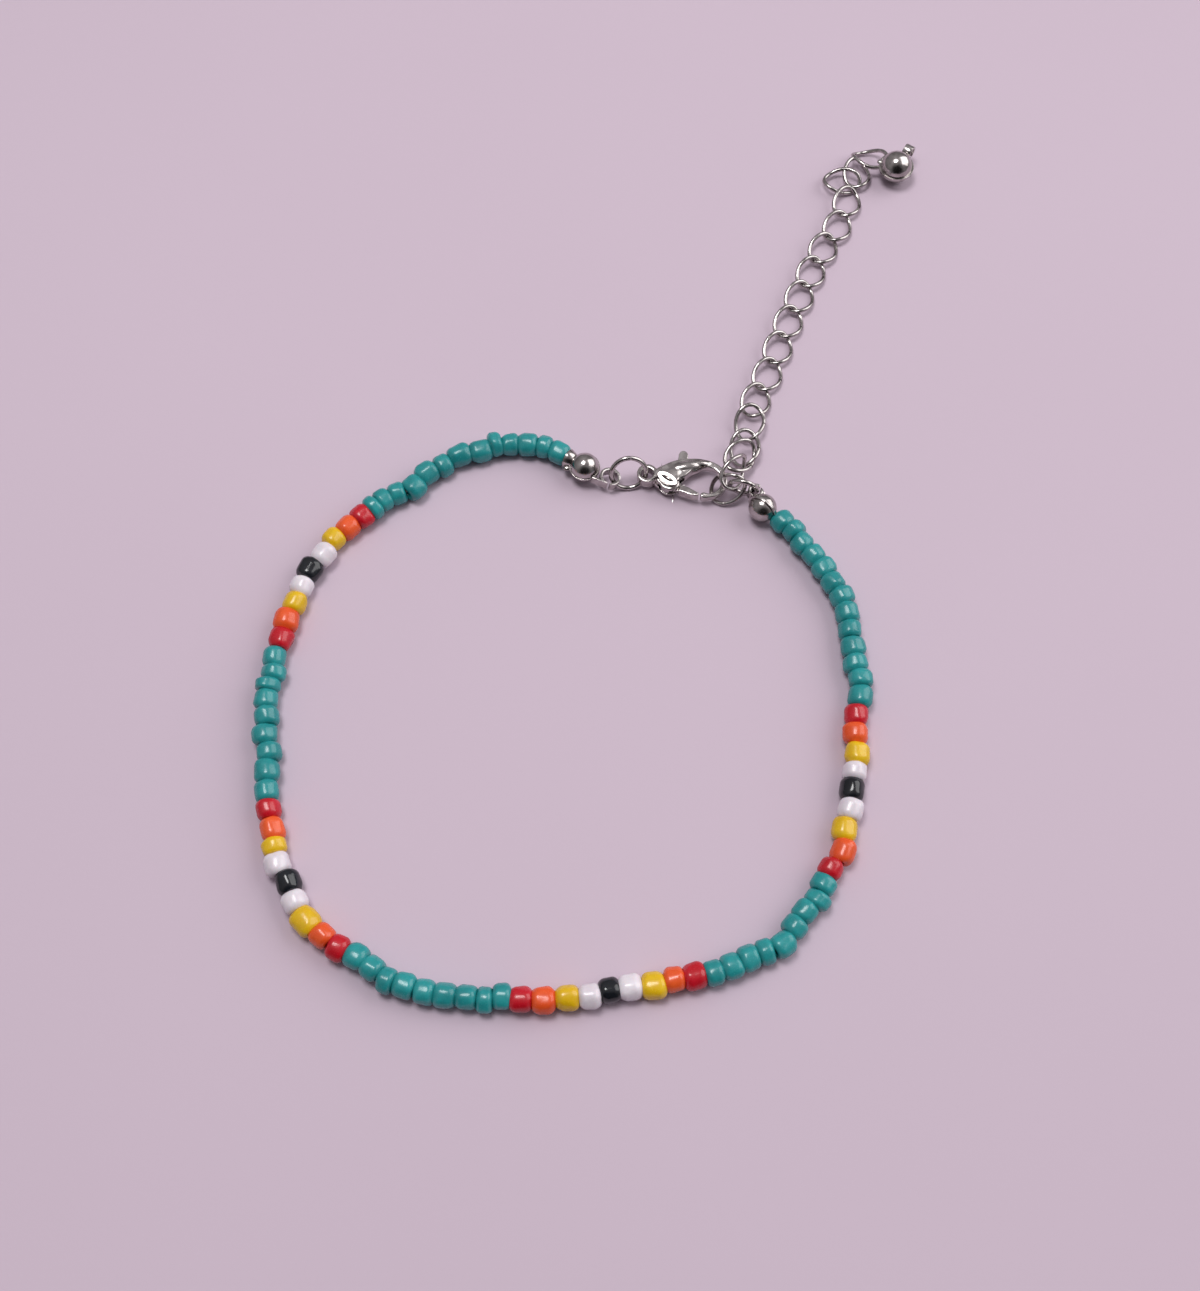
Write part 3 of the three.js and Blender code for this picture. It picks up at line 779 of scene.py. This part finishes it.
# %% [markdown]
# ## Extender chain
#
# The chain is a curb: every link is an oval of round wire that is twisted along its length, so
# that its two ends cross its neighbours' ends and the chain lies flat. One link is a closed
# wire through points of that twisted oval, with the tiny seam where its ends meet, and each
# copy is turned to its place in the table.

# %% Link the chain
LINK_HALF_LENGTH = 2.5
LINK_HALF_WIDTH = 1.82
LINK_WIRE = 0.275
LINK_TWIST = math.radians(26)
LINK_STEPS = 60
SEAM_AT = math.radians(92)
ROUND_LESS_SEAM = 0.992
LINKS = [
    (38.25, 75.0, 1.45, 152, -14, 10), (36.3, 72.6, 1.0, 262, 0, -12),
    (34.1, 71.2, 1.0, 180, 0, -12), (34.6, 67.5, 0.95, 250, 0, -12),
    (33.0, 63.2, 0.95, 243, 0, -12), (30.8, 59.4, 0.95, 243, 0, -12),
    (28.9, 55.4, 0.95, 245, 0, -12), (27.1, 51.3, 0.95, 246, 0, -12),
    (25.4, 47.2, 0.95, 247, 0, -12), (23.8, 43.0, 0.95, 249, 0, -12),
    (22.2, 38.8, 0.95, 247, 0, -12), (20.5, 34.8, 0.95, 249, 0, -12),
    (19.5, 31.2, 1.25, 258, -12, 8), (18.7, 27.38, 1.25, 262, -10, 8),
    (18.1, 25.7, 2.0, 230, 6, -24), (17.15, 22.85, 2.85, 238, 2, -56),
    (16.2, 21.05, 1.94, 12, 42, 42),
]


def link_points():
    points = []
    for step in range(LINK_STEPS + 1):
        angle = SEAM_AT + 2 * math.pi * step / LINK_STEPS * ROUND_LESS_SEAM
        twist = LINK_TWIST * math.cos(angle)
        across = LINK_HALF_WIDTH * math.sin(angle)
        points.append(Vector((LINK_HALF_LENGTH * math.cos(angle),
                              across * math.cos(twist), across * math.sin(twist))))
    return points


link_master = wire("link", link_points(), LINK_WIRE, sides=4)
smooth(link_master, 50)
links = []
for x, y, z, heading, pitch, roll in LINKS:
    place = Matrix.Translation(table(x, y, z)) @ turned(heading, pitch, roll)
    links.append(copy_of(link_master, "link", place @ TO_METRES))
chain = join("extender_links", links)
drop(link_master)
finish_piece(chain, PLATE, "anklet", "silver_plate", "extender_chain")
print("chain:", len(LINKS), "links,", len(chain.data.polygons), "faces")

# %% [markdown]
# ## The lobster clasp
#
# The clasp's body is cast in one piece: a plump spine that runs into the hook, two cheeks with
# a slot between them for the lever, and a bail. Its outline is drawn as a smooth closed curve
# with thickness, the slot is cut out of it, and a fine voxel remesh with some smoothing melts
# the parts together as a casting does.

# %% Cast the clasp's body
CLASP_PLACE = Matrix.Translation(table(6.05, 23.2, 1.36)) @ turned(-6) @ TO_METRES
RIVET = Vector((2.73, -1.12))
BODY_HALF_HEIGHT = 0.86
HOOK_FROM = 5.2
HOOK_REACH = 4.0
HOOK_THINNING = 0.48
BAIL_RADIUS = 1.34
BAIL_HOLE = 0.78
SLOT_HALF_HEIGHT = 0.48


def on_rivet(radius, degrees):
    angle = math.radians(degrees)
    return (RIVET.x + radius * math.cos(angle), RIVET.y + radius * math.sin(angle))


BODY_OUTLINE = [
    (0.95, 0.5), (2.1, 1.5), (3.7, 2.35), (5.3, 2.7), (6.8, 2.85), (8.2, 2.68), (9.2, 2.2),
    (9.85, 1.5), (10.25, 0.45), (10.25, -0.5), (9.95, -1.4), (9.3, -2.1), (8.4, -2.5),
    (7.1, -2.68), (7.05, -2.1), (8.2, -1.95), (8.9, -1.5), (9.3, -0.9), (9.42, -0.1),
    (9.3, 0.7), (8.9, 1.3), (8.2, 1.7), (6.8, 1.65), (5.9, 1.15), (5.3, 0.5), (4.8, -0.05),
    on_rivet(1.5, 24), on_rivet(1.5, 5), on_rivet(1.5, -15), on_rivet(1.35, -40),
    (3.0, -2.2), (2.2, -2.0), (1.5, -1.3), (0.95, -0.5),
]
SLOT_OUTLINE = [
    on_rivet(2.6, -60), on_rivet(2.4, -20), on_rivet(2.4, 10), on_rivet(2.2, 45),
    on_rivet(3.0, 52), on_rivet(5.4, 52), on_rivet(5.6, 80), on_rivet(5.2, 106),
    on_rivet(1.4, 112), on_rivet(1.25, 150), on_rivet(1.25, 190), on_rivet(1.25, 235),
]
DOMES = [
    (3.1, 0.15, 34, 2.5, 1.5, 1.04),
    (4.75, 1.5, 18, 2.8, 1.02, 1.12),
    (6.2, 2.1, 8, 2.1, 0.68, 0.95),
]
GATE_OUTLINE = [
    on_rivet(1.68, -2), (5.4, -1.5), (6.8, -2.2), (6.72, -2.62), (5.8, -2.62),
    on_rivet(1.75, -36),
]
WEB_OUTLINE = [
    on_rivet(0.95, -90), on_rivet(1.0, -45), on_rivet(2.05, -26), on_rivet(2.05, -3),
    on_rivet(1.05, 28), (3.75, 0.6), (4.6, 2.2), (4.95, 2.9), (4.9, 3.6), (4.35, 4.0),
    (3.82, 3.6), (3.75, 2.9), (3.6, 2.2), (3.05, 0.8), on_rivet(1.1, 95), on_rivet(0.95, 138),
    on_rivet(0.95, 180), on_rivet(0.95, 225),
]


def plate_from(name, outline, half_height, edge, rounded):
    data = bpy.data.curves.new(name, "CURVE")
    data.dimensions = "2D"
    data.fill_mode = "BOTH"
    data.extrude = half_height - edge
    data.bevel_depth = edge
    data.bevel_resolution = 3
    data.offset = -edge
    spline = data.splines.new("BEZIER")
    spline.bezier_points.add(len(outline) - 1)
    for target, (x, y) in zip(spline.bezier_points, outline):
        target.co = (x, y, 0)
        target.handle_left_type = target.handle_right_type = "AUTO" if rounded else "VECTOR"
    spline.use_cyclic_u = True
    data.resolution_u = 5
    piece = bpy.data.objects.new(name, data)
    bpy.context.collection.objects.link(piece)
    choose(piece)
    bpy.ops.object.convert(target="MESH")
    piece = bpy.context.object
    bpy.ops.object.mode_set(mode="EDIT")
    close_mesh(0.0005)
    return piece


def rod(radius, height, x, y):
    start_piece()
    bpy.ops.mesh.primitive_cylinder_add(vertices=40, radius=radius, depth=height,
                                        location=(x, y, 0))
    piece = bpy.context.object
    fix_place(piece)
    return piece


def carve(piece, tool, operation="DIFFERENCE"):
    apply_modifier(piece, "BOOLEAN", object=tool, operation=operation, solver="EXACT")
    drop(tool)


def melt(piece, voxel, rounds):
    apply_modifier(piece, "REMESH", mode="VOXEL", voxel_size=voxel)
    apply_modifier(piece, "SMOOTH", factor=0.5, iterations=rounds)
    choose(piece)
    bpy.ops.object.shade_smooth()


body = plate_from("cast_body", BODY_OUTLINE, BODY_HALF_HEIGHT, 0.22, True)
for vertex in body.data.vertices:
    share = min(max((vertex.co.x - HOOK_FROM) / HOOK_REACH, 0.0), 1.0)
    vertex.co.z *= 1 - HOOK_THINNING * share * share * (3 - 2 * share)
for x, y, heading, half_length, half_width, half_height in DOMES:
    start_piece()
    bpy.ops.mesh.primitive_uv_sphere_add(segments=40, ring_count=24, radius=1)
    dome = bpy.context.object
    dome.data.transform(Matrix.Translation((x, y, 0)) @ turned(heading)
                        @ Matrix.Diagonal((half_length, half_width, half_height, 1)))
    carve(body, dome, "UNION")
bail = rod(BAIL_RADIUS, 1.5, 0, 0)
carve(bail, rod(BAIL_HOLE, 2.0, 0, 0))
carve(body, bail, "UNION")
slot = plate_from("slot", SLOT_OUTLINE, SLOT_HALF_HEIGHT, 0.0, False)
carve(body, slot)
melt(body, 0.07, 13)
print("cast body:", len(body.data.polygons), "faces")

# %% [markdown]
# The rivet's boss is struck flat and bright, with a small dimple where the rivet was closed.
# It keeps its sharp edge, so it is made by insets and joined after the casting is smoothed.

# %% Add the rivet and its bosses
RIVET_RADIUS = 0.42
BOSS_RADII = (1.45, 0.70)
BOSS_ABOVE = 1.05
BOSS_BELOW = 0.88
BOSS_TILT = Matrix.Rotation(math.radians(8), 4, "X") @ Matrix.Rotation(math.radians(-5), 4, "Y")
BOSS_STEPS = [(0.07, 0.07), (0.36, 0.0), (0.05, -0.12), (0.13, -0.14)]


def boss(side):
    start_piece()
    bpy.ops.mesh.primitive_cylinder_add(vertices=48, radius=1, depth=0.5,
                                        end_fill_type="NGON")
    piece = bpy.context.object
    piece.scale = (*BOSS_RADII, 1)
    fix_place(piece)
    select_faces(piece, lambda normal: normal.z > 0.9)
    for inwards, upwards in BOSS_STEPS:
        bpy.ops.mesh.inset(thickness=inwards)
        bpy.ops.transform.translate(value=(0, 0, upwards))
    bpy.ops.object.mode_set(mode="OBJECT")
    flip = Matrix.Identity(4) if side > 0 else Matrix.Rotation(math.pi, 4, "X")
    height = BOSS_ABOVE if side > 0 else -BOSS_BELOW
    piece.data.transform(Matrix.Translation((RIVET.x - 0.1, RIVET.y + 0.3, height))
                         @ BOSS_TILT @ turned(-28) @ flip)
    smooth(piece, 35)
    return piece


rivet = rod(RIVET_RADIUS, 1.6, RIVET.x, RIVET.y)
smooth(rivet, 40)
clasp = join("lobster_clasp", [body, boss(1), boss(-1), rivet])
clasp.data.transform(CLASP_PLACE)
finish_piece(clasp, CLASP_PLATE, "anklet", "bright_plate", "clasp_body")
print("clasp:", len(clasp.data.polygons), "faces")

# %% [markdown]
# The lever is a casting of its own: the gate that closes the hook, a thin web that runs
# through the slot, and the thumb tab that stands out at the spine.

# %% Cast the lever
GATE_HALF_HEIGHT = 0.72
WEB_HALF_HEIGHT = 0.36
RIVET_HOLE = 0.54
gate = plate_from("gate", GATE_OUTLINE, GATE_HALF_HEIGHT, 0.14, False)
web = plate_from("web", WEB_OUTLINE, WEB_HALF_HEIGHT, 0.06, True)
carve(gate, web, "UNION")
carve(gate, rod(RIVET_HOLE, 3.0, RIVET.x, RIVET.y))
melt(gate, 0.05, 3)
gate.name = "clasp_trigger"
gate.data.transform(CLASP_PLACE)
finish_piece(gate, CLASP_PLATE, "lever", "bright_plate", "clasp_lever")
print("lever:", len(gate.data.polygons), "faces")

# %% [markdown]
# ## Table and light
#
# The anklet lies on plain matt paper of a pale mauve. A small panel hangs overhead and a large
# soft one stands on the right, so the shadows are short and soft. The room is dim, and darkest
# on the near side, so the metal reflects one bright patch, a grey room and the paper.

# %% Lay the paper and light it
PAPER_WIDTH = 3.0
PAPER_BELOW = 0.00002
DARK_SIDE_ELEVATION = math.radians(26)
ROOM_COLOUR = (1.0, 0.955, 0.985, 1)

start_piece()
bpy.ops.mesh.primitive_plane_add(size=PAPER_WIDTH, location=(0, 0, -PAPER_BELOW))
paper = bpy.context.object
paper.name = "paper"
fix_place(paper)
sheet = Finish("pale_paper", roughness=0.85)
sheet.feed(base_color=sheet.blend(sheet.noise(14),
                                  (0.548, 0.440, 0.526, 1), (0.572, 0.461, 0.550, 1)))
sheet.bump(sheet.noise(2500, detail=3.0), 0.00002, 0.3)
paper.data.materials.append(sheet.material)

world = bpy.data.worlds.new("room")
world.use_nodes = True
room = world.node_tree
background = room.nodes["Background"]


def room_node(kind, operation, inputs):
    node = room.nodes.new(kind)
    if operation:
        node.operation = operation
    for key, value in inputs.items():
        if isinstance(value, bpy.types.NodeSocket):
            room.links.new(node.inputs[key], value)
        else:
            node.inputs[key].default_value = value
    return node.outputs


def room_ramp(value, low, high, at_low, at_high):
    return room_node("ShaderNodeMapRange", None, {
        "Value": value, "From Min": low, "From Max": high,
        "To Min": at_low, "To Max": at_high})["Result"]


direction = room.nodes.new("ShaderNodeTexCoord").outputs["Generated"]
dark_side = Vector((0.0, -math.cos(DARK_SIDE_ELEVATION), math.sin(DARK_SIDE_ELEVATION)))
facing = room_node("ShaderNodeVectorMath", "DOT_PRODUCT", {0: direction, 1: dark_side})["Value"]
height = room_node("ShaderNodeSeparateXYZ", None, {0: direction})["Z"]
level = room_node("ShaderNodeMath", "MULTIPLY", {
    0: room_ramp(facing, 0.60, 0.90, 1.0, 0.06),
    1: room_ramp(height, 0.05, 0.80, 0.20, 0.42)})["Value"]
background.inputs["Color"].default_value = ROOM_COLOUR
room.links.new(background.inputs["Strength"], level)
bpy.context.scene.world = world
bpy.context.scene.view_settings.view_transform = "Standard"


def panel(name, size, power, place):
    light = bpy.data.lights.new(name, "AREA")
    light.shape = "SQUARE"
    light.size = size
    light.energy = power
    lamp = bpy.data.objects.new(name, light)
    bpy.context.collection.objects.link(lamp)
    lamp.location = place
    lamp.rotation_euler = (-Vector(place)).to_track_quat("-Z", "Y").to_euler()


panel("ceiling_panel", 0.22, 1.8, (-0.10, 0.08, 0.58))
panel("window_panel", 0.80, 4.8, (0.66, 0.25, 0.50))
print("paper, room and two panels")
